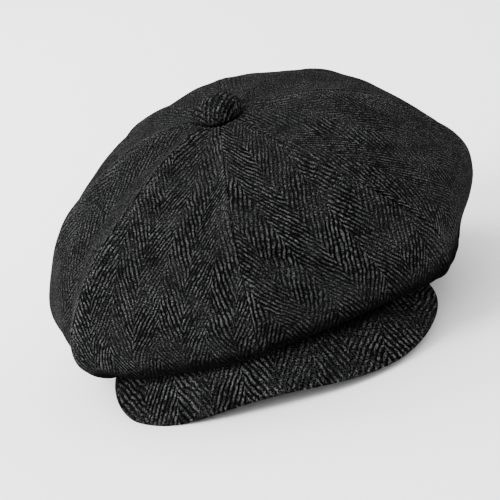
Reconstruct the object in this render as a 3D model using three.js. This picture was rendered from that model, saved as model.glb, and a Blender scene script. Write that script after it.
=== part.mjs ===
// An eight-panel newsboy cap: a full wool crown of eight gores over a headband, a short stiff visor
// tucked under the crown, a cloth-covered button on top, a satin lining and a sweatband inside.
// Millimetres. +Z is up, the front of the cap faces -Y, +X is to its right as it is looked at from
// the front, and z = 0 is the lower edge of the headband. A "turn" is an angle round the head from
// the front (-Y) towards +X, in degrees.
import * as THREE from "three";

const GAP = 0.3; // air between two pieces that are sewn or pressed together

// Head opening and the layers of the band, from the head outwards
const HEAD_HALF_WIDTH = 83;
const HEAD_HALF_LENGTH = 101;
const BAND_HEIGHT = 30;
const SWEATBAND_THICKNESS = 1.0;
const STIFFENER_THICKNESS = 0.8;
const CLOTH = 1.8; // wool cloth
const STIFFENER_OUT = SWEATBAND_THICKNESS + GAP;
const HEADBAND_OUT = STIFFENER_OUT + STIFFENER_THICKNESS + GAP;
const BAND_OUT = HEADBAND_OUT + CLOTH; // outer face of the headband

// Crown: plan of its widest level, and its heights
const CROWN_RIGHT = 134;
const CROWN_LEFT = 136;
const CROWN_FRONT = 124;
const CROWN_BACK = 154;
const PLAN_ROUNDNESS = 2.1; // 2 is an ellipse, more is squarer
const HUB_Z = 126; // where the gores meet under the button
const HUB_Y = -15;
const WIDEST_Z = 41;
const WIDEST_FRONT = -7; // added to the widest level at the front, taken off at the back
const WIDEST_RIGHT = 10;
const WIDEST_ENDS = -3; // added at front and back, taken off at the sides
const FOLD_Z = 3; // where the cloth turns under
const FOLD_FRONT = 6;
const FOLD_RIGHT = 4;
const FOLD_TUCK = 0.23; // how far in the fold is, from the widest radius towards the band
// Meridian of the dome: [part of the plan radius, part of the height from widest level to hub, how much
// is added to that height on the right and taken off on the left, and the same for back and front]
const DOME = [
  [0.3, 1.03, 0, 0.11],
  [0.64, 0.86, 0.06, 0.19],
  [0.93, 0.41, 0, 0],
  [1.04, 0.09, 0.04, 0.05],
];

// Seams between the eight gores: turn at the button, and how far the seam wanders on its way down
const SEAMS = [
  { turn: 0, drift: -3 },
  { turn: 30, drift: 30 },
  { turn: 89, drift: 6 },
  { turn: 135, drift: 2 },
  { turn: 180, drift: 0 },
  { turn: 225, drift: -3 },
  { turn: 276, drift: -6 },
  { turn: 316, drift: -20 },
];
const DRIFT_END = 0.62; // the part of the meridian over which a seam wanders
const PANEL_NAMES = [
  "front_right",
  "side_front_right",
  "side_back_right",
  "back_right",
  "back_left",
  "side_back_left",
  "side_front_left",
  "front_left",
];
const PANEL_SAG = 3.5; // the cloth hangs this far inside the seams that carry it
const PANEL_START = 3.4; // radius of the hole where the gores meet, under the button
const PANEL_COLUMNS = 6;
const PANEL_ROWS = 22;

// Lining
const LINING_THICKNESS = 0.6;
const LINING_DROP = 4; // from the crown's hub down to the lining's
const LINING_DOME = [
  [0.3, 0.93, 0, 0.11],
  [0.62, 0.76, 0.05, 0.18],
  [0.86, 0.36, 0, 0],
  [0.93, 0.08, 0, 0],
];
const LINING_NAMES = ["front_right", "back_right", "back_left", "front_left"];

// Button
const BUTTON_RADIUS = 14.5;
const BUTTON_HEIGHT = 10.5;
const BUTTON_TILT = 12; // degrees towards the front, as the crown slopes there
const BUTTON_LIFT = 2; // from the centre line of the crown cloth up to the button
const BUTTON_CLOTH = 1.1;
const SHELL_THICKNESS = 0.8;
const BACK_PLATE_RADIUS = 11.8;
const SHANK_RADIUS = 1.6;
const WASHER_RADIUS = 7;
const WASHER_THICKNESS = 1;
const WASHER_DROP = 5.7; // from the hub down to the washer, under the lining

// Visor
const VISOR_RISE = 5; // height of the visor seam at the middle of the front
const VISOR_ARCH = 640; // radius of the arch that the seam makes, seen from the front
const VISOR_SLOPE = 44; // degrees down from the seam to the front edge, less towards the sides
const VISOR_SEAM_TURN = 70; // the seam runs this far to each side
const VISOR_TURN = -5; // the visor sits turned a little towards the left
const BOARD_THICKNESS = 1.6;
const VISOR_CLOTH = 1.2;
const VISOR_THICKNESS = BOARD_THICKNESS + 2 * VISOR_CLOTH + 2 * GAP;
const VISOR_SEAM_OUT = BAND_OUT + GAP + VISOR_THICKNESS / 2;
const BOARD_MARGIN = 2.2; // the covers stand out past the board by this much
const VISOR_COLUMNS = 32;
const VISOR_ROWS = 4;
// Edge of the right half in plan, from the middle of the front round to the end of the seam: [x, y]
const VISOR_EDGE = [
  [0, -133],
  [26, -132],
  [52, -126],
  [76, -113],
  [93, -94],
  [103, -68],
  [104, -46],
  [95, -31],
];

// Blank size label on the sweatband
const LABEL_WIDTH_TURN = 9;
const LABEL_LOW = 8;
const LABEL_HIGH = 24;
const LABEL_THICKNESS = 0.4;

const RING_COLUMNS = 60;
const radians = THREE.MathUtils.degToRad;
const smooth = (t) => THREE.MathUtils.smoothstep(t, 0, 1);
const mix = THREE.MathUtils.lerp;

const tweed = { color: 0x2b2b2c, roughness: 0.95, metalness: 0 };
const satin = { color: 0x1b1b1e, roughness: 0.45, metalness: 0 };
const ribbon = { color: 0x161617, roughness: 0.8, metalness: 0 };
const buckram = { color: 0xd8d3c6, roughness: 0.9, metalness: 0 };
const board = { color: 0x8d8578, roughness: 0.85, metalness: 0 };
const steel = { color: 0xb9babc, roughness: 0.35, metalness: 1 };
const label = { color: 0xe9e7e1, roughness: 0.6, metalness: 0 };

const cap = new THREE.Group();
cap.name = "newsboy_cap";

// A uniform cubic B-spline through two named end points, pulled towards the points between them.
function spline(points, t) {
  const last = points.length - 1;
  const before = points[0].map((value, i) => 2 * value - points[1][i]);
  const after = points[last].map((value, i) => 2 * value - points[last - 1][i]);
  const all = [before, ...points, after];
  const spans = all.length - 3;
  const span = Math.min(Math.floor(t * spans), spans - 1);
  const f = t * spans - span;
  const weights = [(1 - f) ** 3, 3 * f ** 3 - 6 * f ** 2 + 4, -3 * f ** 3 + 3 * f ** 2 + 3 * f + 1, f ** 3];
  return points[0].map((_, i) =>
    weights.reduce((sum, weight, j) => sum + (weight / 6) * all[span + j][i], 0),
  );
}

// A closed solid between two surfaces. Each surface takes across and along, both from 0 to 1.
// A ring joins its last column to its first.
function slab(name, material, columns, rows, top, bottom, ring = false) {
  const wide = ring ? columns : columns + 1;
  const positions = [];
  for (const surface of [top, bottom])
    for (let row = 0; row <= rows; row++)
      for (let column = 0; column < wide; column++)
        positions.push(...surface(column / columns, row / rows));
  const layer = wide * (rows + 1);
  const at = (side, row, column) => side * layer + row * wide + (column % wide);
  const faces = [];
  const quad = (a, b, c, d) => faces.push(a, c, b, a, d, c);
  for (let row = 0; row < rows; row++)
    for (let column = 0; column < columns; column++) {
      quad(at(0, row, column), at(0, row, column + 1), at(0, row + 1, column + 1), at(0, row + 1, column));
      quad(at(1, row, column), at(1, row + 1, column), at(1, row + 1, column + 1), at(1, row, column + 1));
    }
  for (let column = 0; column < columns; column++) {
    quad(at(1, 0, column), at(1, 0, column + 1), at(0, 0, column + 1), at(0, 0, column));
    quad(at(0, rows, column), at(0, rows, column + 1), at(1, rows, column + 1), at(1, rows, column));
  }
  if (!ring)
    for (let row = 0; row < rows; row++) {
      quad(at(0, row, 0), at(0, row + 1, 0), at(1, row + 1, 0), at(1, row, 0));
      quad(at(1, row, columns), at(1, row + 1, columns), at(0, row + 1, columns), at(0, row, columns));
    }
  const geometry = new THREE.BufferGeometry();
  geometry.setAttribute("position", new THREE.Float32BufferAttribute(positions, 3));
  geometry.setIndex(faces);
  add(name, material, geometry);
}

// A solid turned about the axis of the button, from a closed anticlockwise outline of points, each a
// radius and a height over the hub.
function turned(name, material, outline, segments = 30) {
  const points = [...outline, outline[0]].map(([radius, z]) => new THREE.Vector2(radius, z));
  const geometry = new THREE.LatheGeometry(points, segments);
  geometry.rotateX(Math.PI / 2);
  geometry.rotateX(radians(BUTTON_TILT));
  geometry.translate(0, HUB_Y, HUB_Z);
  add(name, material, geometry);
}

function add(name, material, geometry) {
  geometry.computeVertexNormals();
  const mesh = new THREE.Mesh(geometry, new THREE.MeshStandardMaterial(material));
  mesh.name = name;
  cap.add(mesh);
}

// Radius of the head opening's ellipse, grown outwards
function headRadius(turn, out) {
  const a = radians(turn);
  return 1 / Math.hypot(Math.sin(a) / (HEAD_HALF_WIDTH + out), Math.cos(a) / (HEAD_HALF_LENGTH + out));
}

function around(turn, radius, z, back = 0) {
  const a = radians(turn);
  return [radius * Math.sin(a), back - radius * Math.cos(a), z];
}

function crownRadius(turn) {
  const a = radians(turn);
  const side = Math.sin(a) > 0 ? CROWN_RIGHT : CROWN_LEFT;
  const end = Math.cos(a) > 0 ? CROWN_FRONT : CROWN_BACK;
  const across = Math.abs(Math.sin(a) / side) ** PLAN_ROUNDNESS;
  const along = Math.abs(Math.cos(a) / end) ** PLAN_ROUNDNESS;
  return (across + along) ** (-1 / PLAN_ROUNDNESS);
}

function widestHeight(turn) {
  const a = radians(turn);
  return WIDEST_Z + WIDEST_FRONT * Math.cos(a) + WIDEST_RIGHT * Math.sin(a) + WIDEST_ENDS * Math.cos(2 * a);
}

function foldHeight(turn) {
  const a = radians(turn);
  return FOLD_Z + FOLD_FRONT * Math.cos(a) + FOLD_RIGHT * Math.sin(a);
}

// The upper part of a meridian, from the button hole to the widest level
function domePoints(turn, shape, top) {
  const widest = widestHeight(turn);
  const a = radians(turn);
  const dome = shape.map(([out, up, right, back]) => [
    out * crownRadius(turn),
    mix(widest, HUB_Z, up + right * Math.sin(a) - back * Math.cos(a)),
  ]);
  return [[PANEL_START, top], ...dome];
}

// Centre line of the crown cloth at one turn: over the dome, down the flank, round the fold and back
// up to the top of the headband, where it is sewn to the outside.
function crownMeridian(turn) {
  const plan = crownRadius(turn);
  const widest = widestHeight(turn);
  const fold = foldHeight(turn);
  const hem = headRadius(turn, BAND_OUT + GAP + CLOTH / 2 + 0.1);
  const foldRadius = mix(plan, hem, FOLD_TUCK);
  return [
    ...domePoints(turn, DOME, HUB_Z),
    [1.02 * plan, mix(widest, fold, 0.3)],
    [mix(foldRadius, plan, 0.4), mix(widest, fold, 0.75)],
    [foldRadius, fold - 7],
    [mix(foldRadius, hem, 0.5), fold - 2],
    [mix(foldRadius, hem, 0.8), (fold + BAND_HEIGHT) / 2],
    [hem + 2, BAND_HEIGHT - 3],
    [hem, BAND_HEIGHT],
  ];
}

// A lining meridian leaves the dome at its widest level and falls straight to the top of the band.
function liningMeridian(turn) {
  const hem = headRadius(turn, STIFFENER_OUT + LINING_THICKNESS);
  return [
    ...domePoints(turn, LINING_DOME, HUB_Z - LINING_DROP),
    [hem + 14, BAND_HEIGHT + 14],
    [hem + 2, BAND_HEIGHT + 4],
    [hem, BAND_HEIGHT + GAP],
  ];
}

function seamTurn(index, drop) {
  const seam = SEAMS[index % SEAMS.length];
  const lap = index === SEAMS.length ? 360 : 0;
  return seam.turn + lap + seam.drift * smooth(drop / DRIFT_END);
}

// A point of a gore, "lift" millimetres outside its centre line. "drop" runs down the meridian.
function clothPoint(meridian, turnAt, sagAt, across, drop, lift) {
  const turn = turnAt(across, drop);
  const points = meridian(turn);
  const [radius, z] = spline(points, drop);
  const step = 0.002;
  const [radiusAfter, zAfter] = spline(points, Math.min(drop + step, 1));
  const [radiusBefore, zBefore] = spline(points, Math.max(drop - step, 0));
  const length = Math.hypot(radiusAfter - radiusBefore, zAfter - zBefore);
  const outward = -(zAfter - zBefore) / length;
  const upward = (radiusAfter - radiusBefore) / length;
  const move = lift - sagAt(across, drop);
  const height = z + move * upward;
  const middle = HUB_Y * THREE.MathUtils.clamp((z - BAND_HEIGHT) / (HUB_Z - BAND_HEIGHT), 0, 1);
  return around(turn, radius + move * outward, height, middle);
}

// Turn of a point between two edges, held back from each by half a gap
function betweenEdges(first, second, radius, across) {
  const slack = THREE.MathUtils.radToDeg(GAP / 2 / radius);
  return mix(first + slack, second - slack, across);
}

function crownPanel(index) {
  const turnAt = (across, drop) => {
    const first = seamTurn(index, drop);
    const second = seamTurn(index + 1, drop);
    const [radius] = spline(crownMeridian((first + second) / 2), drop);
    return betweenEdges(first, second, radius, across);
  };
  const sagAt = (across, drop) =>
    PANEL_SAG * Math.sin(Math.PI * across) * Math.sin(Math.PI * THREE.MathUtils.clamp(drop / 0.7, 0, 1));
  const surface = (lift) => (across, drop) => clothPoint(crownMeridian, turnAt, sagAt, across, drop, lift);
  const name = "crown_panel_" + PANEL_NAMES[index];
  slab(name, tweed, PANEL_COLUMNS, PANEL_ROWS, surface(CLOTH / 2), surface(-CLOTH / 2));
}

function liningPanel(index) {
  const turnAt = (across, drop) => {
    const [radius] = spline(liningMeridian(90 * index + 45), drop);
    return betweenEdges(90 * index, 90 * index + 90, radius, across);
  };
  const half = LINING_THICKNESS / 2;
  const surface = (lift) => (across, drop) => clothPoint(liningMeridian, turnAt, () => 0, across, drop, lift);
  slab("lining_panel_" + LINING_NAMES[index], satin, 12, 14, surface(half), surface(-half));
}

// Height of the line where the visor is sewn on: arched in front, and back at the rim behind it
function rimHeight(x, y) {
  return y < 0 ? Math.max(0, VISOR_RISE - x ** 2 / (2 * VISOR_ARCH)) : 0;
}

// A ring of the band between two distances outside the head opening
function bandRing(name, material, innerOut, outerOut, low, high) {
  const wall = (out) => (across, along) => {
    const [x, y] = around(360 * across, headRadius(360 * across, out), 0);
    return [x, y, mix(high, rimHeight(x, y) + low, along)];
  };
  slab(name, material, RING_COLUMNS, 1, wall(outerOut), wall(innerOut), true);
}

function sizeLabel() {
  const first = 180 - LABEL_WIDTH_TURN;
  const wall = (out) => (across, along) => {
    const turn = mix(first, 180 + LABEL_WIDTH_TURN, across);
    return around(turn, headRadius(turn, out), mix(LABEL_HIGH, LABEL_LOW, along));
  };
  slab("size_label", label, 8, 2, wall(-GAP), wall(-GAP - LABEL_THICKNESS));
}

// A point of the visor: across from -1 (left) to 1 (right), out from 0 (seam) to 1 (edge), with the edge
// drawn in by a margin, and lifted off the middle surface.
function visorPoint(across, out, margin, lift) {
  const sideways = VISOR_SEAM_TURN * across;
  const turn = sideways + VISOR_TURN;
  const [seamX, seamY] = around(turn, headRadius(turn, VISOR_SEAM_OUT), 0);
  const [halfX, halfY] = spline(VISOR_EDGE, Math.abs(across));
  const edge = new THREE.Vector2(Math.sign(across) * halfX, halfY);
  edge.rotateAround(new THREE.Vector2(), radians(VISOR_TURN));
  const whole = Math.hypot(edge.x - seamX, edge.y - seamY);
  const outX = (edge.x - seamX) / whole;
  const outY = (edge.y - seamY) / whole;
  const slope = Math.atan(Math.tan(radians(VISOR_SLOPE)) * Math.cos(radians(sideways)));
  const reach = (whole - margin) * out;
  const level = rimHeight(seamX, seamY) + VISOR_THICKNESS / 2;
  return [
    seamX + outX * (reach + lift * Math.sin(slope)),
    seamY + outY * (reach + lift * Math.sin(slope)),
    level - reach * Math.tan(slope) + lift * Math.cos(slope),
  ];
}

// One layer of the visor, from rows that run from the seam to the front edge.
function visorLayer(name, material, rows) {
  const last = rows.length - 1;
  const surface = (side) => (across, along) => {
    const row = rows[Math.round(along * last)];
    return visorPoint(2 * across - 1, row.out, row.margin, row[side]);
  };
  slab(name, material, VISOR_COLUMNS, last, surface("high"), surface("low"));
}

// The covers run past the board, thin out to a rounded edge and meet in front of it.
function visor() {
  const half = BOARD_THICKNESS / 2;
  const outside = VISOR_THICKNESS / 2;
  const boardRows = Array.from({ length: VISOR_ROWS + 1 }, (_, i) => ({
    out: i / VISOR_ROWS,
    margin: BOARD_MARGIN,
    low: -half,
    high: half,
  }));
  const coverRows = [
    ...boardRows.map((row) => ({ ...row, low: half + GAP, high: outside })),
    { out: 1, margin: 0.6 * BOARD_MARGIN, low: GAP / 2, high: 0.93 * outside },
    { out: 1, margin: 0.2 * BOARD_MARGIN, low: GAP / 2, high: 0.7 * outside },
    { out: 1, margin: 0, low: GAP / 2, high: 0.35 * outside },
  ];
  const underRows = coverRows.map((row) => ({ ...row, low: -row.high, high: -row.low }));
  visorLayer("visor_board", board, boardRows);
  visorLayer("visor_top_cover", tweed, coverRows);
  visorLayer("visor_under_cover", tweed, underRows);
}

// Half a dome from its rim up to the axis: [radius, z] points
function domeArc(radius, height, base, steps = 8) {
  return Array.from({ length: steps + 1 }, (_, i) => {
    const a = (Math.PI / 2) * (i / steps);
    return [radius * Math.cos(a), base + height * Math.sin(a)];
  });
}

function button() {
  const base = BUTTON_LIFT;
  const shellRadius = BUTTON_RADIUS - BUTTON_CLOTH - GAP;
  const shellHeight = BUTTON_HEIGHT - BUTTON_CLOTH - GAP;
  const coverInside = domeArc(shellRadius + GAP, shellHeight + GAP, base).reverse();
  turned("button_cover", tweed, [...domeArc(BUTTON_RADIUS, BUTTON_HEIGHT, base), ...coverInside]);
  const shellInside = domeArc(shellRadius - SHELL_THICKNESS, shellHeight - SHELL_THICKNESS, base).reverse();
  turned("button_shell", steel, [...domeArc(shellRadius, shellHeight, base), ...shellInside]);
  const washerTop = -WASHER_DROP;
  const shankEnd = washerTop - WASHER_THICKNESS - 0.8;
  turned("button_back", steel, [
    [0, shankEnd],
    [SHANK_RADIUS, shankEnd],
    [SHANK_RADIUS, base],
    [BACK_PLATE_RADIUS, base],
    [BACK_PLATE_RADIUS, base + 1],
    [0, base + 1],
  ]);
  turned("button_washer", steel, [
    [SHANK_RADIUS + GAP, washerTop - WASHER_THICKNESS],
    [WASHER_RADIUS, washerTop - WASHER_THICKNESS],
    [WASHER_RADIUS, washerTop],
    [SHANK_RADIUS + GAP, washerTop],
  ]);
}

PANEL_NAMES.forEach((_, index) => crownPanel(index));
LINING_NAMES.forEach((_, index) => liningPanel(index));
bandRing("headband", tweed, HEADBAND_OUT, BAND_OUT, 0, BAND_HEIGHT);
bandRing("band_stiffener", buckram, STIFFENER_OUT, STIFFENER_OUT + STIFFENER_THICKNESS, 2, BAND_HEIGHT - 2);
bandRing("sweatband", ribbon, 0, SWEATBAND_THICKNESS, 0.6, BAND_HEIGHT);
sizeLabel();
visor();
button();

export default cap;
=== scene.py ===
"""A newsboy cap in charcoal herringbone wool: the looks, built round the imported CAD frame.

Shapes are worked out in millimetres and turned into metres as each mesh is made. A "turn" is an angle
in degrees round the head, from the front (-Y) towards +X. A "drop" runs down a gore, from 0 under the
button to 1 at the headband. Cloth coordinates, which place the weave, are in centimetres.
"""
import math

import bmesh
import bpy
import numpy as np
from mathutils import Matrix, Vector, noise


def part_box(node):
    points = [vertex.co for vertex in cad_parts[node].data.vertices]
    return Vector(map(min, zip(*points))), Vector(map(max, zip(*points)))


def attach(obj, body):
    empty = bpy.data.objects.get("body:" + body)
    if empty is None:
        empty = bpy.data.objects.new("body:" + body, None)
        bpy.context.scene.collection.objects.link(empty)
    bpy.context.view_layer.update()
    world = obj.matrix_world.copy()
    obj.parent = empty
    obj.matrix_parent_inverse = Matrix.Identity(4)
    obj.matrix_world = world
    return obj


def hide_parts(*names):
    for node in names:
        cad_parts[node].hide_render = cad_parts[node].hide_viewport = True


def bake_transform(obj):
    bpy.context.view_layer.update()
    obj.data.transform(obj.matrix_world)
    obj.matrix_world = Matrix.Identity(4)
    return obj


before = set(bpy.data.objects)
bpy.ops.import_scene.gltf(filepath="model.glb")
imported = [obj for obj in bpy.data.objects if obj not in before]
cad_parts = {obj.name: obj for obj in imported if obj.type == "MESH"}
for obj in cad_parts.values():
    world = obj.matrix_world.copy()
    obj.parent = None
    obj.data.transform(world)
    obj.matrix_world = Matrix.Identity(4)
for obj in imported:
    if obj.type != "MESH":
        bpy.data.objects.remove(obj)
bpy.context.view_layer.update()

MM = 0.001

# Camera and light
VIEW_AZIMUTH = 6.5
VIEW_ELEVATION = 15.0
VIEW_ROLL = -17.1
VIEW_DISTANCE = 1.5
VIEW_LENS = 172.8
AIM = (-0.0081, -0.0049, 0.0372)
WORLD_LIGHT = 2.15
LAMPS = [("key", (-1.6, -0.8, 1.2), 72), ("rim", (-1.0, 1.0, 1.2), 36)]  # name, place and power
LAMP_SIZE = 1.0
LAMP_AIM = (0, 0, 0.07)
FLOOR_SIZE = 14.0
FLOOR_TILT = 3.3  # degrees: the cap stands on its visor and the back of its crown

# Head opening and band, as in the CAD
HEAD_HALF_WIDTH = 83
HEAD_HALF_LENGTH = 101
BAND_HEIGHT = 30
GAP = 0.3
CLOTH = 1.8
BAND_OUT = 4.2

# Crown, as in the CAD
CROWN_RIGHT = 134
CROWN_LEFT = 136
CROWN_FRONT = 124
CROWN_BACK = 154
PLAN_ROUNDNESS = 2.1
HUB_Z = 126
HUB_Y = -15
WIDEST_Z = 41
WIDEST_FRONT = -7
WIDEST_RIGHT = 10
WIDEST_ENDS = -3
FOLD_Z = 3
FOLD_FRONT = 6
FOLD_RIGHT = 4
FOLD_TUCK = 0.23
# Share of the plan's radius, share of the rise to the hub, and what the right side and the back add to it
DOME = [(0.3, 1.03, 0, 0.11), (0.64, 0.86, 0.06, 0.19), (0.93, 0.41, 0, 0), (1.04, 0.09, 0.04, 0.05)]
# Each seam's turn at the button hole, and how far round it drifts on its way down
SEAMS = [(0, -3), (30, 30), (89, 6), (135, 2), (180, 0), (225, -3), (276, -6), (316, -20)]
DRIFT_END = 0.62  # drop at which the drift ends
PANEL_NAMES = [
    "front_right",
    "side_front_right",
    "side_back_right",
    "back_right",
    "back_left",
    "side_back_left",
    "side_front_left",
    "front_left",
]
PANEL_START = 3.4  # radius of the hole under the button

# How the crown cloth hangs and wears, and where shade and highlight are painted on it, in millimetres,
# shares of the drop and degrees of turn
PANEL_SAG = 3.0
SAG_SHAPE = 1.4  # 1 spreads the sag over the whole gore, and more draws it in to the middle
SAG_END = 0.7  # drop at which it ends
RIDGES = (1.6, 1.4, 1.6, 0.8, 1.0, 1.4, 2.0, 2.8)  # how far each seam's allowance lifts the cloth
RIDGE_HALF = 6.5
CREASE = 1.1  # depth of the groove along each seam
CREASE_HALF = 1.3
HUB_DIP = 1.6  # the button's pull dips the cloth in a ring under its edge
HUB_DIP_AT = 13
HUB_DIP_HALF = 4
FOLD_SHADE_START = 0.51  # below this drop the cloth turns under, and painted shade darkens it
FOLD_SHADE_END = 0.62
WORN_TURN = 42  # from here round to the back, the nap is rubbed and hides more of the weave
RUBBED_FADE = 40
BUTTON_SHADE = 11.5  # painted shade also darkens the cloth this near to the button hole, under the button's rim
BUTTON_SHADE_FADE = 5
# half width of the seam mark, whose middle carries painted shade in the seam's groove
SEAM_MARK_HALF = 5
TOP_FADE = 0.1  # the worn hollows and swells, and the painted highlight and shade beside the seams, set in over this drop
CLOTH_RIPPLES = [(34, 1, 1.1), (14, 2, 0.5)]  # size, seed and height of each layer of ripples
WEAVE_SHIFT = 150  # every other gore is cut this far across the cloth
COLUMNS = 60
ROWS = 150


def spline(points, t):
    """A uniform cubic B-spline from its first point to its last, pulled towards those between."""
    ladder = np.array(points, dtype=float)
    ladder = np.concatenate([[2 * ladder[0] - ladder[1]], ladder, [2 * ladder[-1] - ladder[-2]]])
    spans = len(ladder) - 3
    span = min(int(t * spans), spans - 1)
    f = t * spans - span
    weights = np.array([(1 - f) ** 3, 3 * f**3 - 6 * f**2 + 4, -3 * f**3 + 3 * f**2 + 3 * f + 1, f**3])
    return np.tensordot(weights / 6, ladder[span:span + 4], 1)


def mix(a, b, share):
    return a + (b - a) * share


def smooth(t):
    t = np.clip(t, 0, 1)
    return t * t * (3 - 2 * t)


def bump(t):
    """A smooth hill: 1 at 0, nearly nothing past 2."""
    return np.exp(-(t**2))


def head_radius(turn, out):
    """Radius of the head opening's oval, grown by a distance."""
    a = np.radians(turn)
    return 1 / np.hypot(np.sin(a) / (HEAD_HALF_WIDTH + out), np.cos(a) / (HEAD_HALF_LENGTH + out))


def crown_radius(turn):
    """Radius of the crown at its widest."""
    a = np.radians(turn)
    side = np.where(np.sin(a) > 0, CROWN_RIGHT, CROWN_LEFT)
    end = np.where(np.cos(a) > 0, CROWN_FRONT, CROWN_BACK)
    across = np.abs(np.sin(a) / side) ** PLAN_ROUNDNESS
    along = np.abs(np.cos(a) / end) ** PLAN_ROUNDNESS
    return (across + along) ** (-1 / PLAN_ROUNDNESS)


def widest_height(turn):
    """Height at which the crown is widest."""
    a = np.radians(turn)
    return WIDEST_Z + WIDEST_FRONT * np.cos(a) + WIDEST_RIGHT * np.sin(a) + WIDEST_ENDS * np.cos(2 * a)


def dome_points(turn, shape, top):
    """The upper part of a meridian, from the button hole to the widest level."""
    a = np.radians(turn)
    plan = crown_radius(turn)
    widest = widest_height(turn)
    dome = [
        (out * plan, mix(widest, HUB_Z, up + right * np.sin(a) - back * np.cos(a)))
        for out, up, right, back in shape
    ]
    return [(PANEL_START + 0 * plan, top + 0 * plan), *dome]


def crown_meridian(turn):
    """Spline points of the crown cloth at each turn, over the dome and round the fold to the band."""
    a = np.radians(turn)
    plan = crown_radius(turn)
    widest = widest_height(turn)
    fold = FOLD_Z + FOLD_FRONT * np.cos(a) + FOLD_RIGHT * np.sin(a)
    hem = head_radius(turn, BAND_OUT + GAP + CLOTH / 2 + 0.1)
    fold_radius = mix(plan, hem, FOLD_TUCK)
    same = np.ones_like(plan)
    return [
        *dome_points(turn, DOME, HUB_Z),
        (1.02 * plan, mix(widest, fold, 0.3)),
        (mix(fold_radius, plan, 0.4), mix(widest, fold, 0.75)),
        (fold_radius, fold - 7),
        (mix(fold_radius, hem, 0.5), fold - 2),
        (mix(fold_radius, hem, 0.8), (fold + BAND_HEIGHT) / 2),
        (hem + 2, (BAND_HEIGHT - 3) * same),
        (hem, BAND_HEIGHT * same),
    ]


def around(turn, radius, z, back=0.0):
    """Points at each turn, radius and height, round a middle that may lie further back."""
    a = np.radians(turn)
    return np.stack([radius * np.sin(a), back - radius * np.cos(a), z + 0 * a], -1)


def middle_y(z):
    """The middle of the crown slides from the middle of the head at the band to the hub at the top."""
    return HUB_Y * np.clip((z - BAND_HEIGHT) / (HUB_Z - BAND_HEIGHT), 0, 1)


def seam_turn(index, drop):
    """The turn of a seam at a drop. The seam after the last is the first again, one lap on."""
    turn, drift = SEAMS[index % len(SEAMS)]
    lap = 360 if index == len(SEAMS) else 0
    return turn + lap + drift * smooth(drop / DRIFT_END)


def lengths(points, axis):
    """Distance travelled from the start of each row (axis 1) or column (axis 0) of a grid of points."""
    steps = np.linalg.norm(np.diff(points, axis=axis), axis=-1)
    zero = np.zeros_like(np.take(steps, [0], axis=axis))
    return np.concatenate([zero, np.cumsum(steps, axis=axis)], axis=axis)


def normals(points):
    """Outward normals of a grid whose rows run down and whose columns run round with the turn."""
    n = np.cross(np.gradient(points, axis=0), np.gradient(points, axis=1))
    return n / np.maximum(np.linalg.norm(n, axis=-1, keepdims=True), 1e-9)


def ripples(points, size, seed):
    """Soft noise from -1 to 1 at each point, with hills about size millimetres apart."""
    flat = points.reshape(-1, 3) / size
    shift = Vector((seed * 7.3, seed * 3.1, seed * 5.7))
    values = [noise.noise(Vector(p) + shift) for p in flat]
    return np.array(values).reshape(points.shape[:-1])


def rippled(points, layers):
    """The sum of several layers of ripples."""
    return sum(height * ripples(points, size, seed) for size, seed, height in layers)


def fade(drop, top, hem):
    """1 in the middle of a gore, and down to 0 within these drops of its top and its hem."""
    return smooth(drop / top) * smooth((1 - drop) / hem)


def from_front(turn):
    """Degrees round the head from the front, on either side."""
    return np.abs((turn + 180) % 360 - 180)


def crown_grid(index):
    """Points of one gore's middle surface before it hangs, with each row's drop and each point's turn."""
    share = 0.5 - 0.5 * np.cos(np.pi * np.linspace(0, 1, COLUMNS + 1))
    drops = np.linspace(0, 1, ROWS + 1)
    rows, turns = [], []
    for drop in drops:
        turn = mix(seam_turn(index, drop), seam_turn(index + 1, drop), share)
        radius, z = spline(crown_meridian(turn), drop)
        rows.append(around(turn, radius, z, middle_y(z)))
        turns.append(turn)
    return np.array(rows), drops[:, None], np.array(turns)


CROWN_LENGTH = 250
# Swells and hollows (lift below 0) of the worn crown: turn, drop, half width, half height and lift
HANGS = [
    (88, 0.59, 44, 24, -6.5),
    (122, 0.21, 22, 16, 1.8),
    (136, 0.17, 20, 20, -1.5),
    (165, 0.13, 30, 24, 1.6),
    (180, 0.13, 8, 18, -1.0),
    (197, 0.12, 11, 20, 2.2),
    (220, 0.13, 30, 26, -1.2),
    (253, 0.20, 44, 28, 2.8),
    (273, 0.36, 30, 24, -2.8),
    (272, 0.235, 12, 10, 2.0),
    (290, 0.53, 48, 18, 3.4),
    (293, 0.28, 12, 55, -6.5),
    (300, 0.49, 16, 14, 1.8),
    (302, 0.63, 16, 9, -2.5),
    (10, 0.45, 20, 50, -2.5),
    (26, 0.66, 42, 13, -4.5),
    (330, 0.30, 26, 60, -1.5),
]


def worn_shape(points, drop, turn):
    """The sum of the hollows and swells at each point."""
    radius = np.hypot(points[..., 0], points[..., 1])
    move = np.zeros(radius.shape)
    for at_turn, at_drop, half_width, half_height, lift in HANGS:
        sideways = np.radians((turn - at_turn + 180) % 360 - 180) * radius / half_width
        down = (drop - at_drop) * CROWN_LENGTH / half_height
        move = move + lift * bump(np.hypot(sideways, down))
    return move


def from_hub(points):
    """Distance sideways from the button hole."""
    return np.hypot(points[..., 0], points[..., 1] - HUB_Y)


def seam_rise(index, across, width):
    """How far the seam allowances lift the cloth beside the two seams of a gore."""
    first = RIDGES[index] * bump(across / RIDGE_HALF)
    second = RIDGES[(index + 1) % len(RIDGES)] * bump((width - across) / RIDGE_HALF)
    return first + second


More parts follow.
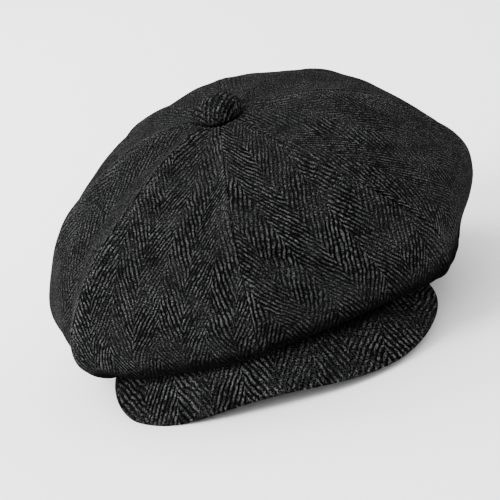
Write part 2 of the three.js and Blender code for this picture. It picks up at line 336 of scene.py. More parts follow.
def hang(index, points, drop, turn, across, width):
    """How far each point of a gore moves along its normal."""
    edge = np.minimum(across, width - across)
    body = np.sin(np.pi * np.clip(drop / SAG_END, 0, 1))
    move = -PANEL_SAG * np.sin(np.pi * np.clip(across / np.maximum(width, 1), 0, 1)) ** SAG_SHAPE * body
    move = move + seam_rise(index, across, width) * fade(drop, top=0.06, hem=0.2)
    crease = 1 - np.sqrt(1 - np.clip(1 - edge / CREASE_HALF, 0, 1) ** 2)
    move = move - CREASE * crease
    move = move - HUB_DIP * bump((from_hub(points) - HUB_DIP_AT) / HUB_DIP_HALF)
    move = move + rippled(points, CLOTH_RIPPLES) * fade(drop, top=0.15, hem=0.12)
    return move + worn_shape(points, drop, turn) * smooth(drop / TOP_FADE)


def mesh_object(name, vertices, faces, material, cloth=None, marks=None):
    """A smooth-shaded piece from millimetre points, with cloth coordinates and named marks per vertex."""
    mesh = bpy.data.meshes.new(name)
    mesh.from_pydata((np.asarray(vertices) * MM).tolist(), [], np.asarray(faces).tolist())
    mesh.polygons.foreach_set("use_smooth", np.ones(len(mesh.polygons), dtype=bool))
    if cloth is not None:
        corners = np.empty(len(mesh.loops), dtype=np.int32)
        mesh.loops.foreach_get("vertex_index", corners)
        layer = mesh.uv_layers.new(name="cloth")
        layer.data.foreach_set("uv", np.asarray(cloth, dtype=np.float32)[corners].ravel())
    for label, values in (marks or {}).items():
        mark = mesh.attributes.new(label, "FLOAT", "POINT")
        mark.data.foreach_set("value", np.asarray(values, dtype=np.float32))
    mesh.materials.append(material)
    mesh.update()
    piece = bpy.data.objects.new(name, mesh)
    bpy.context.collection.objects.link(piece)
    return piece


def slab(name, material, top, bottom, cloth=None, ring=False, **marks):
    """A closed piece between two grids of points. Rows run down or out, and columns run with the turn."""
    rows, wide = top.shape[:2]
    layer = rows * wide

    def at(side, row, column):
        return side * layer + row * wide + column % wide

    columns = np.arange(wide if ring else wide - 1)
    faces = []
    for row in range(rows - 1):
        a, b = at(0, row, columns), at(0, row, columns + 1)
        c, d = at(0, row + 1, columns + 1), at(0, row + 1, columns)
        faces.append(np.stack([a, d, c, b], -1))
        faces.append(np.stack([a, b, c, d], -1) + layer)
    first, last = at(0, 0, columns), at(0, rows - 1, columns)
    first_next, last_next = at(0, 0, columns + 1), at(0, rows - 1, columns + 1)
    faces.append(np.stack([first, first_next, first_next + layer, first + layer], -1))
    faces.append(np.stack([last, last + layer, last_next + layer, last_next], -1))
    if not ring:
        down = np.arange(rows - 1)
        left, right = at(0, down, 0), at(0, down, wide - 1)
        faces.append(np.stack([left, left + layer, left + wide + layer, left + wide], -1))
        faces.append(np.stack([right, right + wide, right + wide + layer, right + layer], -1))
    vertices = np.concatenate([top.reshape(-1, 3), bottom.reshape(-1, 3)])
    both = None if cloth is None else np.concatenate([cloth.reshape(-1, 2)] * 2)
    marks = {label: np.concatenate([values.ravel()] * 2) for label, values in marks.items()}
    return mesh_object(name, vertices, np.concatenate(faces), material, both, marks)


class Shader:
    """The node tree of one material, with short calls for the nodes it needs."""

    def __init__(self, name, color, roughness, metallic=0.0):
        self.material = bpy.data.materials.new(name)
        self.material.use_nodes = True
        self.tree = self.material.node_tree
        self.surface = self.tree.nodes["Principled BSDF"]
        self.surface.inputs["Base Color"].default_value = (*color, 1)
        self.surface.inputs["Roughness"].default_value = roughness
        self.surface.inputs["Metallic"].default_value = metallic

    def link(self, value, socket):
        if isinstance(value, bpy.types.NodeSocket):
            self.tree.links.new(value, socket)
        else:
            socket.default_value = value

    def math(self, operation, *values):
        node = self.tree.nodes.new("ShaderNodeMath")
        node.operation = operation
        for value, socket in zip(values, node.inputs):
            self.link(value, socket)
        return node.outputs[0]

    def add(self, a, b):
        return self.math("ADD", a, b)

    def times(self, a, b):
        return self.math("MULTIPLY", a, b)

    def mixed(self, share, a, b):
        """A number between a (share 0) and b (share 1)."""
        return self.add(a, self.times(share, self.math("SUBTRACT", b, a)))

    def swing(self, value, reach):
        """A value from 0 to 1 turned into a push of up to half the reach either way."""
        return self.times(self.math("SUBTRACT", value, 0.5), reach)

    def vector(self, x, y):
        node = self.tree.nodes.new("ShaderNodeCombineXYZ")
        self.link(x, node.inputs["X"])
        self.link(y, node.inputs["Y"])
        return node.outputs[0]

    def cloth(self):
        """Cloth coordinates in centimetres: across, along, and both as one vector."""
        node = self.tree.nodes.new("ShaderNodeUVMap")
        node.uv_map = "cloth"
        split = self.tree.nodes.new("ShaderNodeSeparateXYZ")
        self.tree.links.new(node.outputs[0], split.inputs[0])
        return split.outputs[0], split.outputs[1], node.outputs[0]

    def noise(self, vector, scale, detail=2.0, rough=0.5):
        """Soft noise, with scale hills to each unit of the vector."""
        node = self.tree.nodes.new("ShaderNodeTexNoise")
        node.noise_dimensions = "2D"
        self.link(vector, node.inputs["Vector"])
        node.inputs["Scale"].default_value = scale
        node.inputs["Detail"].default_value = detail
        node.inputs["Roughness"].default_value = rough
        return node.outputs[0]

    def range(self, value, low, high, to_low=0.0, to_high=1.0):
        """A smooth step from to_low to to_high as the value goes from low to high."""
        node = self.tree.nodes.new("ShaderNodeMapRange")
        node.interpolation_type = "SMOOTHSTEP"
        self.link(value, node.inputs["Value"])
        node.inputs["From Min"].default_value = low
        node.inputs["From Max"].default_value = high
        node.inputs["To Min"].default_value = to_low
        node.inputs["To Max"].default_value = to_high
        return node.outputs[0]

    def blend(self, share, first, second):
        """A colour between the first (share 0) and the second (share 1)."""
        node = self.tree.nodes.new("ShaderNodeMix")
        node.data_type = "RGBA"
        self.link(share, node.inputs["Factor"])
        self.link((*first, 1), node.inputs["A"])
        self.link((*second, 1), node.inputs["B"])
        return node.outputs["Result"]

    def marked(self, value, mark, factor, low=0.0, high=1.0):
        """The value, times a factor that sets in as a vertex mark goes from low to high."""
        node = self.tree.nodes.new("ShaderNodeAttribute")
        node.attribute_name = mark
        return self.times(value, self.range(node.outputs["Fac"], low, high, 1.0, factor))

    def bump(self, height, depth_mm):
        node = self.tree.nodes.new("ShaderNodeBump")
        node.inputs["Distance"].default_value = depth_mm * MM
        self.link(height, node.inputs["Height"])
        self.tree.links.new(node.outputs[0], self.surface.inputs["Normal"])

    def color(self, value):
        self.tree.links.new(value, self.surface.inputs["Base Color"])

    def sheen(self, weight, roughness, tint):
        self.surface.inputs["Sheen Weight"].default_value = weight
        self.surface.inputs["Sheen Roughness"].default_value = roughness
        self.surface.inputs["Sheen Tint"].default_value = (*tint, 1)


# Herringbone weave, in centimetres of cloth
COLUMN_WIDTH = 1.7
LINE_PITCH = 0.245
LINE_LEAN = 26
DASH_LENGTH = 0.30
DARK_WOOL = (0.0003, 0.0003, 0.0003)
LIGHT_WOOL = (0.122, 0.122, 0.1235)
CONTRAST = 1.9
SLOW_WAVER = 0.26  # how far the weave wanders
FAST_WAVER = 0.08
DULL_DASH = 0.30  # brightness of the dull stretches of a rib
WORN_WEAVE = 0.45  # share of the ribs that shows where the nap is worn most, and least
FRESH_WEAVE = 0.90
RUBBED_WEAVE = 0.55
HEATHER_LIGHT = 0.7
DARK_HEATHER = 0.20
FLECK_LIGHT = 0.22
PATCH_DARK = 0.88
PATCH_LIGHT = 1.1
PAINTED_RIDGE_HIGHLIGHT = 1.35  # brightness of the painted highlight on a ridge, of the painted shade in a seam's groove, and of the painted shade where the cloth is tucked away
SEAM_GROOVE_SHADE = 0.5
PAINTED_SHADE_LEVEL = 0.28
RIB_DEPTH = 0.7  # millimetres


def tweed_material():
    """Heathered wool herringbone: columns of slanting broken ribs that meet in chevrons, with a painted
    highlight and painted shade set by vertex marks.
    """
    s = Shader("herringbone_tweed", (0.04, 0.04, 0.041), 0.92)
    across, along, vector = s.cloth()
    across = s.add(across, s.swing(s.noise(vector, 0.9, 2), SLOW_WAVER))
    along = s.add(along, s.swing(s.noise(vector, 1.3, 2), SLOW_WAVER))
    across = s.add(across, s.swing(s.noise(vector, 6.0, 1), FAST_WAVER))
    column = s.math("FLOOR", s.math("DIVIDE", across, COLUMN_WIDTH))
    slope = s.math("PINGPONG", across, COLUMN_WIDTH)
    lean = math.radians(LINE_LEAN)
    phase = s.add(s.times(slope, math.cos(lean) / LINE_PITCH), s.times(along, math.sin(lean) / LINE_PITCH))
    phase = s.add(phase, s.times(column, 0.5))
    rib = s.add(s.times(s.math("COSINE", s.times(phase, 2 * math.pi)), -0.5), 0.5)
    run = s.add(s.times(slope, -math.sin(lean)), s.times(along, math.cos(lean)))
    line = s.add(s.times(s.math("FLOOR", phase), 3.7), s.times(column, 11.3))
    dash = s.noise(s.vector(line, s.times(run, 1 / DASH_LENGTH)), 1.0, 1)
    thread = s.times(s.range(rib, 0.15, 0.9), s.range(dash, 0.34, 0.60, DULL_DASH, 1.0))
    heather = s.range(s.noise(vector, 12.0, 3, 0.75), 0.38, 0.63)
    fleck = s.range(s.noise(vector, 19.0, 1, 0.6), 0.52, 0.74)
    weave = s.range(s.noise(vector, 0.45, 2), 0.35, 0.65, WORN_WEAVE, FRESH_WEAVE)
    weave = s.marked(weave, "rubbed", RUBBED_WEAVE)
    patch = s.range(s.noise(vector, 0.5, 2), 0.3, 0.7, PATCH_DARK, PATCH_LIGHT)
    light = s.mixed(weave, s.times(heather, HEATHER_LIGHT), thread)
    light = s.times(light, s.range(heather, 0.0, 1.0, DARK_HEATHER, 1.0))
    light = s.times(s.add(light, s.times(fleck, FLECK_LIGHT)), patch)
    # painted highlight on the ridges beside the seams
    light = s.marked(light, "painted_ridge_highlight", PAINTED_RIDGE_HIGHLIGHT)
    # painted shade along the very line of each seam, in its groove
    light = s.marked(light, "seam", SEAM_GROOVE_SHADE, low=0.95, high=0.99)
    # painted shade in the fold, under the button's rim, on the visor by the crown and on the button's
    # underside
    light = s.marked(light, "tuck", PAINTED_SHADE_LEVEL)
    light = s.math("POWER", s.math("MINIMUM", light, 1.0), CONTRAST)
    s.color(s.blend(light, DARK_WOOL, LIGHT_WOOL))
    s.bump(s.add(s.times(thread, 0.7), s.times(heather, 0.6)), RIB_DEPTH)
    s.sheen(0.012, 0.25, (0.9, 0.9, 0.92))
    s.surface.inputs["Specular IOR Level"].default_value = 0.0
    return s.material


SATIN_LINE = 0.05  # centimetres between the lines, ribs and yarns of the other cloths
RIBBON_RIB = 0.11
LABEL_YARN = 0.045


def satin_material():
    """Lining satin: near black, with fine warp lines and a soft gloss."""
    s = Shader("lining_satin", (0.015, 0.015, 0.018), 0.38)
    across, _, vector = s.cloth()
    lines = s.math("SINE", s.times(across, 2 * math.pi / SATIN_LINE))
    s.color(s.blend(s.noise(vector, 1.2, 3), (0.010, 0.010, 0.012), (0.026, 0.026, 0.030)))
    s.bump(s.add(s.times(lines, 0.3), s.noise(vector, 2.0, 2)), 0.25)
    s.sheen(0.2, 0.3, (0.8, 0.8, 0.85))
    return s.material


def ribbon_material():
    """Grosgrain: ribs across the length of the ribbon."""
    s = Shader("sweatband_ribbon", (0.012, 0.012, 0.013), 0.7)
    across, _, vector = s.cloth()
    ribs = s.add(s.times(s.math("SINE", s.times(across, 2 * math.pi / RIBBON_RIB)), 0.5), 0.5)
    s.color(s.blend(s.times(ribs, s.noise(vector, 6.0, 2)), (0.006, 0.006, 0.007), (0.035, 0.035, 0.037)))
    s.bump(ribs, 0.35)
    s.sheen(0.3, 0.4, (0.8, 0.8, 0.82))
    return s.material


def speckle(s, scale, detail, dark, light):
    """Colours a material with fine speckles between two close shades, and hands it back."""
    coordinates = s.tree.nodes.new("ShaderNodeTexCoord").outputs["Object"]
    s.color(s.blend(s.noise(coordinates, scale, detail), dark, light))
    return s.material


def metal_material():
    """Pressed metal of the button's shell, back and washer."""
    s = Shader("button_metal", (0.55, 0.55, 0.56), 0.35, 1.0)
    return speckle(s, 900.0, 3, (0.42, 0.42, 0.43), (0.62, 0.62, 0.63))


def board_material():
    """Grey-brown visor board."""
    s = Shader("visor_board", (0.27, 0.24, 0.19), 0.85)
    return speckle(s, 700.0, 4, (0.22, 0.19, 0.15), (0.33, 0.29, 0.24))


def buckram_material():
    """Pale stiffener inside the band."""
    s = Shader("band_buckram", (0.68, 0.65, 0.57), 0.9)
    return speckle(s, 800.0, 3, (0.55, 0.52, 0.44), (0.72, 0.69, 0.61))


def label_material():
    """A plain woven label with nothing on it."""
    s = Shader("label_cloth", (0.8, 0.79, 0.75), 0.6)
    across, along, vector = s.cloth()
    weft = s.math("SINE", s.times(along, 2 * math.pi / LABEL_YARN))
    warp = s.math("SINE", s.times(across, 2 * math.pi / LABEL_YARN))
    s.color(s.blend(s.noise(vector, 8.0, 2), (0.70, 0.69, 0.64), (0.84, 0.83, 0.79)))
    s.bump(s.times(weft, warp), 0.12)
    return s.material


def thread_material():
    """Dark sewing thread."""
    s = Shader("sewing_thread", (0.03, 0.03, 0.032), 0.6)
    return speckle(s, 2500.0, 1, (0.02, 0.02, 0.022), (0.06, 0.06, 0.063))


TWEED = tweed_material()
SATIN = satin_material()
RIBBON = ribbon_material()
METAL = metal_material()
BOARD = board_material()
BUCKRAM = buckram_material()
LABEL = label_material()
THREAD = thread_material()


def crown_panel(index):
    """One gore of the crown, as a closed layer of cloth turned in at its seams."""
    points, drop, turn = crown_grid(index)
    across = lengths(points, 1)
    width = across[:, -1:]
    outward = normals(points)
    outside = points + outward * (hang(index, points, drop, turn, across, width) + CLOTH / 2)[..., None]
    across = lengths(outside, 1)
    width = across[:, -1:]
    along = lengths(outside, 0)
    middle = along[:, along.shape[1] // 2][:, None] + 0 * across
    cloth = np.stack([across - width / 2 + WEAVE_SHIFT * (index % 2), middle], -1) / 10
    edge = np.minimum(across, width - across)
    # painted shade under the button's rim
    under_button = 1 - smooth((from_hub(outside) - BUTTON_SHADE) / BUTTON_SHADE_FADE)
    # The marks paint shade in each seam's groove, a highlight on the ridges beside the seams, and shade
    # where the cloth turns under and under the button's rim
    marks = {
        "seam": bump(edge / SEAM_MARK_HALF) * smooth(drop / TOP_FADE),
        "painted_ridge_highlight": seam_rise(index, across, width) / max(RIDGES) * smooth(drop / TOP_FADE),
        "tuck": np.maximum(smooth((drop - FOLD_SHADE_START) / (FOLD_SHADE_END - FOLD_SHADE_START)), under_button),
        "rubbed": smooth((from_front(turn) - WORN_TURN) / RUBBED_FADE),
    }
    inside = outside - outward * (CLOTH - GAP)  # thinner than in the CAD, by a gap
    name = PANEL_NAMES[index]
    piece = slab("crown_cloth_" + name, TWEED, outside, inside, cloth, **marks)
    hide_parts("crown_panel_" + name)
    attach(piece, "cap")


# Visor, as in the CAD
VISOR_RISE = 5
VISOR_ARCH = 640
VISOR_SLOPE = 44
VISOR_SEAM_TURN = 70
VISOR_TURN = -5
BOARD_THICKNESS = 1.6
VISOR_CLOTH = 1.2
VISOR_THICKNESS = BOARD_THICKNESS + 2 * VISOR_CLOTH + 2 * GAP
VISOR_SEAM_OUT = BAND_OUT + GAP + VISOR_THICKNESS / 2
BOARD_MARGIN = 2.2
# Half of the visor's edge in the plan, from the middle of its front to the end of a wing
VISOR_EDGE = [(0, -133), (26, -132), (52, -126), (76, -113), (93, -94), (103, -68), (104, -46), (95, -31)]
VISOR_STRETCH = 1.25  # the cloth is pulled tight over the board, so its weave is larger
VISOR_SHADE_END = 0.45  # painted shade of the crown darkens the visor, up to this share of its length
VISOR_BOARD_END = 0.985  # share of the half width at which the board ends and the cloths close round it
VISOR_EDGE_BENDS = range(12, 91, 13)  # degrees: the steps in which the cloths turn round the edge
VISOR_EDGE_HALF = 0.25  # least distance of a cloth's outside from the middle surface
VISOR_JOIN_HALF = 0.1  # distance of its inside, where the two cloths meet
VISOR_RIPPLE = 0.35
VISOR_COLUMNS = 120
VISOR_ROWS = 36


def rim_height(x, y):
    """Height of the line where the visor is sewn on: arched in front, and 0 behind."""
    return np.where(y < 0, np.maximum(0, VISOR_RISE - x**2 / (2 * VISOR_ARCH)), 0)


def visor_row(across, out, margin, lift):
    """One row of visor points, from left (across -1) to right (1)."""
    sideways = VISOR_SEAM_TURN * across
    turn = sideways + VISOR_TURN
    seam = around(turn, head_radius(turn, VISOR_SEAM_OUT), 0)[:, :2]
    half = np.array([spline(VISOR_EDGE, abs(a)) for a in across])
    edge = np.stack([np.sign(across) * half[:, 0], half[:, 1]], -1)
    a = math.radians(VISOR_TURN)
    edge = edge @ np.array([[math.cos(a), math.sin(a)], [-math.sin(a), math.cos(a)]])
    length = np.linalg.norm(edge - seam, axis=1)
    outward = (edge - seam) / length[:, None]
    slope = np.arctan(math.tan(math.radians(VISOR_SLOPE)) * np.cos(np.radians(sideways)))
    reach = (length - margin) * out
    flat = seam + outward * (reach + lift * np.sin(slope))[:, None]
    level = rim_height(seam[:, 0], seam[:, 1]) + VISOR_THICKNESS / 2
    z = level - reach * np.tan(slope) + lift * np.cos(slope)
    return np.concatenate([flat, z[:, None]], 1)


def visor_cover(name, node, side):
    """The cloth over (side 1) or under (side -1) the visor board, rounded at its edge."""
    across = np.linspace(-1, 1, VISOR_COLUMNS + 1)
    half = VISOR_THICKNESS / 2
    board = BOARD_THICKNESS / 2 + GAP
    outer, inner = [], []
    closed = np.where(np.abs(across) < VISOR_BOARD_END, board, VISOR_JOIN_HALF)
    for out in np.linspace(0, 1, VISOR_ROWS + 1):
        outer.append(visor_row(across, out, BOARD_MARGIN, side * half))
        inner.append(visor_row(across, out, BOARD_MARGIN, side * closed))
    for bend in np.radians(VISOR_EDGE_BENDS):
        margin = BOARD_MARGIN * (1 - math.sin(bend))
        lift = max(half * math.cos(bend), VISOR_EDGE_HALF)
        outer.append(visor_row(across, 1, margin, side * lift))
        inner.append(visor_row(across, 1, margin, side * VISOR_JOIN_HALF))
    outer, inner = np.array(outer), np.array(inner)
    outer[..., 2] += side * VISOR_RIPPLE * ripples(outer, size=30, seed=5 + side)
    tilt = math.radians(VISOR_SLOPE)
    along = -outer[..., 1] * math.cos(tilt) - outer[..., 2] * math.sin(tilt)
    cloth = np.stack([outer[..., 0], along], -1) / VISOR_STRETCH / 10
    if side < 0:
        outer, inner = inner, outer
    shares = np.minimum(np.arange(len(cloth)) / VISOR_ROWS, 1)[:, None]
    # painted shade from the crown on the visor cloth, near its seam
    tuck = smooth(1 - shares / VISOR_SHADE_END) + 0 * cloth[..., 0]
    piece = slab(name, TWEED, outer, inner, cloth, tuck=tuck)
    bend_with_visor(piece)
    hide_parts(node)


def set_camera():
    """The camera at the photograph's viewing angle."""
    a, e, roll = (math.radians(v) for v in (VIEW_AZIMUTH, VIEW_ELEVATION, VIEW_ROLL))
    back = Vector((math.sin(a) * math.cos(e), -math.cos(a) * math.cos(e), math.sin(e)))
    right = Vector((math.cos(a), math.sin(a), 0))
    up = back.cross(right)
    turned_right = right * math.cos(roll) + up * math.sin(roll)
    turned_up = up * math.cos(roll) - right * math.sin(roll)
    data = bpy.data.cameras.new("camera")
    data.lens = VIEW_LENS
    camera = bpy.data.objects.new("camera", data)
    pose = Matrix((turned_right, turned_up, back)).transposed().to_4x4()
    pose.translation = Vector(AIM) + back * VIEW_DISTANCE
    camera.matrix_world = pose
    bpy.context.collection.objects.link(camera)
    bpy.context.scene.camera = camera


def set_lights():
    """An even white surround and two large soft lamps."""
    world = bpy.data.worlds.new("studio")
    world.use_nodes = True
    world.node_tree.nodes["Background"].inputs["Color"].default_value = (1, 1, 1, 1)
    world.node_tree.nodes["Background"].inputs["Strength"].default_value = WORLD_LIGHT
    bpy.context.scene.world = world
    for name, place, power in LAMPS:
        data = bpy.data.lights.new(name, "AREA")
        data.shape = "DISK"
        data.size = LAMP_SIZE
        data.energy = power
        light = bpy.data.objects.new(name, data)
        light.location = place
        light.rotation_euler = (Vector(LAMP_AIM) - Vector(place)).to_track_quat("-Z", "Y").to_euler()
        bpy.context.collection.objects.link(light)


def lay_floor():
    """A plain pale floor under the visor's lowest point."""
    half = FLOOR_SIZE / 2
    corners = [(-half, -half, 0), (half, -half, 0), (half, half, 0), (-half, half, 0)]
    mesh = bpy.data.meshes.new("floor")
    mesh.from_pydata(corners, [], [(0, 1, 2, 3)])
    mesh.materials.append(Shader("floor", (0.93, 0.93, 0.93), 0.9).material)
    floor = bpy.data.objects.new("floor", mesh)
    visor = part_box("visor_under_cover")[0]
    floor.location = (0, visor.y, visor.z)
    floor.rotation_euler.x = math.radians(FLOOR_TILT)
    bpy.context.collection.objects.link(floor)


# Band, sweatband and lining, as in the CAD
SWEATBAND_THICKNESS = 1.0
STIFFENER_OUT = SWEATBAND_THICKNESS + GAP
STIFFENER_THICKNESS = 0.8
HEADBAND_OUT = STIFFENER_OUT + STIFFENER_THICKNESS + GAP
HEADBAND_HEM = 1.9  # the headband's lower edge turns in this far, under the stiffener
HEM_START = 0.93  # share of the band's height at which the hem starts to turn in
HEM_SPAN = 0.06
EDGE_START = 0.06  # share of the half height from which the ring thins towards its edges
EDGE_POWER = 8
EDGE_LEAST = 0.15  # share of the thickness that is left at an edge
LINING_THICKNESS = 0.6
LINING_DROP = 4
LINING_DOME = [(0.3, 0.93, 0, 0.11), (0.62, 0.76, 0.05, 0.18), (0.86, 0.36, 0, 0), (0.93, 0.08, 0, 0)]
LINING_NAMES = ["front_right", "back_right", "back_left", "front_left"]
RING_COLUMNS = 240
RING_ROWS = 16


def band_ring(name, node, material, inner_out, outer_out, low, high, sway, hem=0):
    """A ring of the band with soft rounded edges. Its lower edge may be turned in, as a hem."""
    turn = np.linspace(180, 540, RING_COLUMNS, endpoint=False)  # the join is at the back
    middle = (inner_out + outer_out) / 2
    half = (outer_out - inner_out) / 2
    flat = around(turn, head_radius(turn, middle), 0)
    bottom = rim_height(flat[:, 0], flat[:, 1]) + low

    def wall(side):
        rows = []
        for t in np.linspace(0, 1, RING_ROWS + 1):
            share = 0.5 - 0.5 * math.cos(math.pi * t)
            reach = max(0.0, abs(2 * share - 1) * (1 + EDGE_START) - EDGE_START)
            rounded = half * math.sqrt(max(0.0, 1 - reach**EDGE_POWER))
            z = high + (bottom - high) * share
            turned_in = hem * smooth((share - HEM_START) / HEM_SPAN) if side < 0 else 0
            radius = head_radius(turn, middle + side * max(rounded, EDGE_LEAST * half) - turned_in)
            rows.append(around(turn, radius, z))
        grid = np.array(rows)
        free = np.sin(np.pi * np.linspace(0, 1, RING_ROWS + 1))[:, None]
        push = sway * ripples(grid, size=26, seed=8) * free
        outward = flat / np.linalg.norm(flat, axis=1, keepdims=True)
        return grid + outward * push[..., None]

    outside, inside = wall(1), wall(-1)
    across = lengths(np.concatenate([outside[0], outside[0][:1]])[None], 1)[0, :-1]
    cloth = np.stack([across + 0 * outside[..., 0], lengths(outside, 0)], -1) / 10
    piece = slab(name, material, outside, inside, cloth, ring=True)
    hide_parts(node)
    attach(piece, "cap")


def headband():
    """The tweed band that the crown and the visor are sewn to."""
    band_ring(
        "headband_cloth", "headband", TWEED,
        HEADBAND_OUT, BAND_OUT, low=0, high=BAND_HEIGHT, sway=0.12, hem=HEADBAND_HEM,
    )


def sweatband():
    """The ribbon inside the headband, which starts a little above its lower edge."""
    band_ring(
        "sweatband_ribbon", "sweatband", RIBBON,
        0, SWEATBAND_THICKNESS, low=0.6, high=BAND_HEIGHT, sway=0.1,
    )


def lining_meridian(turn):
    hem = head_radius(turn, STIFFENER_OUT + LINING_THICKNESS)
    same = np.ones_like(hem)
    return [
        *dome_points(turn, LINING_DOME, HUB_Z - LINING_DROP),
        (hem + 14, (BAND_HEIGHT + 14) * same),
        (hem + 2, (BAND_HEIGHT + 4) * same),
        (hem, (BAND_HEIGHT + GAP) * same),
    ]


LINING_COLUMNS = 60
LINING_ROWS = 60
LINING_RIPPLES = [(38, 11, 1.6), (15, 12, 0.7)]
LINING_SEAM_FADE = 12  # the folds die away this near to a seam
PUCKER = 0.5  # depth of the groove along each seam
PUCKER_HALF = 2.5


def lining_panel(index):
    """A quarter of the satin lining, which hangs in soft folds and puckers along its seams."""
    share = np.linspace(0, 1, LINING_COLUMNS + 1)
    rows = []
    for drop in np.linspace(0, 1, LINING_ROWS + 1):
        turn = 90 * index + 90 * share
        radius, z = spline(lining_meridian(turn), drop)
        slack = np.degrees(GAP / 2 / radius) * (1 - 2 * share)
        rows.append(around(turn + slack, radius, z, middle_y(z)))
    points = np.array(rows)
    drop = np.linspace(0, 1, LINING_ROWS + 1)[:, None]
    across = lengths(points, 1)
    width = across[:, -1:]
    edge = np.minimum(across, width - across)
    free = fade(drop, top=0.15, hem=0.12) * smooth(edge / LINING_SEAM_FADE)
    move = free * rippled(points, LINING_RIPPLES) - PUCKER * bump(edge / PUCKER_HALF)
    outside = points + normals(points) * (move + LINING_THICKNESS / 2)[..., None]
    inside = outside - normals(points) * LINING_THICKNESS
    cloth = np.stack([across - width / 2, lengths(points, 0)], -1) / 10
    name = LINING_NAMES[index]
    piece = slab("lining_satin_" + name, SATIN, outside, inside, cloth)
    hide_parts("lining_panel_" + name)
    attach(piece, "cap")


# Button, as in the CAD
BUTTON_RADIUS = 14.5
BUTTON_HEIGHT = 10.5
BUTTON_TILT = 12
BUTTON_LIFT = 2
BUTTON_CLOTH = 1.1
BUTTON_COLUMNS = 120
BUTTON_ROWS = 36
BUTTON_PLEATS = 14
BUTTON_PLEAT_DEPTH = 0.3
BUTTON_RIPPLE = 0.4
BUTTON_ROUNDNESS = 2.2  # 2 is an ellipse, more has a fuller shoulder
BUTTON_CURL = 24  # degrees that the cloth turns in below the widest level
BUTTON_STRETCH = 1.3  # the cloth is pulled tight over the button too
BUTTON_WEAVE_SHIFT = 4.1  # slides the weave, in centimetres, so that a chevron runs up the button
BUTTON_PUFF = 2  # the cloth's widest level stands this far above the rim of the metal
BUTTON_CLOTH_SHADE_START = 2.0  # degrees: painted shade darkens the cloth from here down, where it turns under
BUTTON_CLOTH_SHADE_END = -18.0


def button_cover():
    """The cloth over the button, gathered in small pleats where it turns under."""
    turn = np.linspace(0, 360, BUTTON_COLUMNS, endpoint=False)
    inside = (BUTTON_RADIUS - BUTTON_CLOTH) / BUTTON_RADIUS
    rises = np.radians(np.linspace(89, -BUTTON_CURL, BUTTON_ROWS))
    outer, inner = [], []
    for rise in rises:
        powers = math.cos(rise) ** BUTTON_ROUNDNESS + abs(math.sin(rise)) ** BUTTON_ROUNDNESS
        full = powers ** (-1 / BUTTON_ROUNDNESS)
        radius = BUTTON_RADIUS * math.cos(rise) * full
        height = BUTTON_HEIGHT * math.sin(rise) * full + BUTTON_PUFF
        gathered = BUTTON_PLEAT_DEPTH * (1 - max(math.sin(rise), 0)) ** 4
        pleat = gathered * np.cos(np.radians(turn) * BUTTON_PLEATS)
        outer.append(around(turn, radius + pleat, height))
        inner.append(around(turn, radius * inside, height * inside))
    outer, inner = np.array(outer), np.array(inner)
    outer = outer + normals(outer) * (BUTTON_RIPPLE * ripples(outer, size=9, seed=21))[..., None]
    cloth = around(turn + 0 * outer[..., 0], lengths(outer, 0), 0)[..., :2] * np.array([1, -1])
    cloth = cloth / BUTTON_STRETCH / 10 + np.array([BUTTON_WEAVE_SHIFT, 0])
    # painted shade on the button's cloth below its widest level
    lit = (np.degrees(rises) - BUTTON_CLOTH_SHADE_END) / (BUTTON_CLOTH_SHADE_START - BUTTON_CLOTH_SHADE_END)
    tuck = 1 - smooth(lit)[:, None] + 0 * outer[..., 0]
    piece = slab("button_cloth", TWEED, tilt_button(outer), tilt_button(inner), cloth, ring=True, tuck=tuck)
    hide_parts("button_cover")
    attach(piece, "cap")


def tilt_button(points):
    """Points over the hub moved to where the button is, leaning with the slope of the crown."""
    tilt = math.radians(BUTTON_TILT)
    x, y, z = points[..., 0], points[..., 1], points[..., 2] + BUTTON_LIFT
    return np.stack([
        x,
        HUB_Y + y * math.cos(tilt) - z * math.sin(tilt),
        HUB_Z + y * math.sin(tilt) + z * math.cos(tilt),
    ], -1)


def tube_loop(path, radius, sides=6):
    """Vertices and faces of the side of one short tube along a path; its ends are left open."""
    path = np.asarray(path, dtype=float)
    along = np.gradient(path, axis=0)
    along /= np.linalg.norm(along, axis=1, keepdims=True)
    side = np.cross(along, (0, 0, 1.0))
    side /= np.maximum(np.linalg.norm(side, axis=1, keepdims=True), 1e-9)
    up = np.cross(side, along)
    a = np.linspace(0, 2 * np.pi, sides, endpoint=False)
    ring = np.cos(a)[None, :, None] * side[:, None] + np.sin(a)[None, :, None] * up[:, None]
    vertices = (path[:, None] + radius * ring).reshape(-1, 3)
    faces = []
    for step in range(len(path) - 1):
        for k in range(sides):
            a, b = step * sides + k, step * sides + (k + 1) % sides
            faces.append([a, b, b + sides, a + sides])
    return vertices, faces


STITCH_SPACING = 4.2
STITCH_LENGTH = 3.0
STITCH_POINTS = 6
STITCH_ARCH = 2  # thread radii from a stitch's ends up to its middle
STITCH_SINK = 0.9  # thread radii by which its ends sink into the cloth
THREAD_RADIUS = 0.22


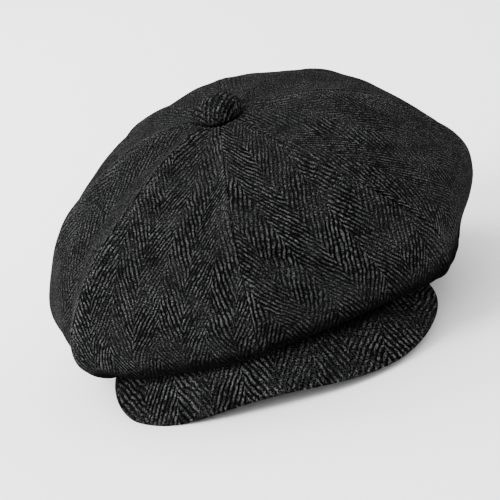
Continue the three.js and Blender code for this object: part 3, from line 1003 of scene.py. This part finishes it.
def stitches(name, line, normal_at, body="cap"):
    """A row of thread stitches along a closed or open line of points, each one a small arched tube."""
    line = np.asarray(line, dtype=float)
    steps = np.linalg.norm(np.diff(line, axis=0), axis=1)
    travelled = np.concatenate([[0], np.cumsum(steps)])
    total = travelled[-1]
    count = int(total / STITCH_SPACING)
    vertices, faces = [], []
    share = np.linspace(-0.5, 0.5, STITCH_POINTS)
    lift = ((1 - (2 * share) ** 2) * STITCH_ARCH - STITCH_SINK) * THREAD_RADIUS
    for k in range(count):
        at = (k + 0.5) * total / count + share * STITCH_LENGTH
        place = np.stack([np.interp(at, travelled, line[:, i]) for i in range(3)], -1)
        place = place + normal_at(place) * lift[:, None]
        v, f = tube_loop(place, THREAD_RADIUS)
        start = sum(len(x) for x in vertices)
        vertices.append(v)
        faces.extend([[i + start for i in face] for face in f])
    piece = mesh_object(name, np.concatenate(vertices), faces, THREAD)
    cap_ends(piece)
    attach(piece, body)


def cap_ends(piece):
    """Closes the open ends of the tubes in a piece."""
    shape = bmesh.new()
    shape.from_mesh(piece.data)
    bmesh.ops.holes_fill(shape, edges=[e for e in shape.edges if e.is_boundary])
    bmesh.ops.recalc_face_normals(shape, faces=shape.faces)
    shape.to_mesh(piece.data)
    shape.free()


def inward(points):
    """Level directions from each point towards the middle of the head."""
    flat = points * np.array([-1, -1, 0])
    return flat / np.linalg.norm(flat, axis=1, keepdims=True)


SWEATBAND_STITCH_Z = 3.0
LABEL_HALF_TURN = 9  # degrees from the back to each end of the label
LABEL_LOW = 8
LABEL_HIGH = 24
LABEL_THICKNESS = 0.4
LABEL_PUFF = 0.25
LABEL_COLUMNS = 41
LABEL_ROWS = 25
LABEL_STITCH_INSET = 0.08  # share of the label's width from each end to its stitches
LABEL_STITCH_MARGIN = 1


def sweatband_stitches():
    """The thread that holds the sweatband to the headband, near its lower edge."""
    turn = np.linspace(0, 360, 721)
    line = around(turn, head_radius(turn, 0), 0)
    line[:, 2] = rim_height(line[:, 0], line[:, 1]) + SWEATBAND_STITCH_Z
    stitches("sweatband_stitches", line, inward)


def size_label():
    """A blank woven label on the sweatband at the back of the head, with a stitched edge at each end."""
    turn = np.linspace(180 - LABEL_HALF_TURN, 180 + LABEL_HALF_TURN, LABEL_COLUMNS)
    height = np.linspace(LABEL_HIGH, LABEL_LOW, LABEL_ROWS)[:, None]
    wave_across = np.sin(np.pi * np.linspace(0, 1, LABEL_COLUMNS))
    wave_down = np.sin(np.pi * np.linspace(0, 1, LABEL_ROWS))[:, None]
    puff = LABEL_PUFF * wave_across * wave_down
    outer = around(turn + 0 * height, head_radius(turn, -GAP) + 0 * height, height)
    inner = around(turn + 0 * height, head_radius(turn, -GAP - LABEL_THICKNESS) - puff, height)
    cloth = np.stack([lengths(outer, 1), lengths(outer, 0)], -1) / 10
    piece = slab("blank_label", LABEL, outer, inner, cloth)
    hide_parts("size_label")
    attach(piece, "cap")
    z = np.linspace(LABEL_HIGH - LABEL_STITCH_MARGIN, LABEL_LOW + LABEL_STITCH_MARGIN, 20)
    for end, inset in (("left", LABEL_STITCH_INSET), ("right", 1 - LABEL_STITCH_INSET)):
        at = turn[0] + inset * 2 * LABEL_HALF_TURN
        line = around(at + 0 * z, head_radius(at, -GAP - LABEL_THICKNESS) + 0 * z, z)
        stitches("label_stitches_" + end, line, inward)


def visor_board():
    """The stiff board between the visor's two cloths, which bends where the cloths bend."""
    across = np.linspace(-VISOR_BOARD_END, VISOR_BOARD_END, VISOR_COLUMNS + 1)
    outs = np.linspace(0, 1, VISOR_ROWS + 1)
    top = np.array([visor_row(across, out, BOARD_MARGIN, BOARD_THICKNESS / 2) for out in outs])
    bottom = np.array([visor_row(across, out, BOARD_MARGIN, -BOARD_THICKNESS / 2) for out in outs])
    piece = slab("visor_stiff_board", BOARD, top, bottom)
    bend_with_visor(piece)
    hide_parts("visor_board")


def bend_with_visor(piece):
    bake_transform(piece)


def finish_cad_nodes():
    """The materials of the CAD nodes whose shape is kept."""
    for node, material in (
        ("band_stiffener", BUCKRAM),
        ("button_shell", METAL),
        ("button_back", METAL),
        ("button_washer", METAL),
    ):
        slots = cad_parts[node].data.materials
        slots.clear()
        slots.append(material)


set_camera()
set_lights()
lay_floor()
for panel in range(len(PANEL_NAMES)):
    crown_panel(panel)
for panel in range(len(LINING_NAMES)):
    lining_panel(panel)
headband()
sweatband()
sweatband_stitches()
size_label()
visor_cover("visor_top_cloth", "visor_top_cover", 1)
visor_cover("visor_under_cloth", "visor_under_cover", -1)
visor_board()
button_cover()
finish_cad_nodes()
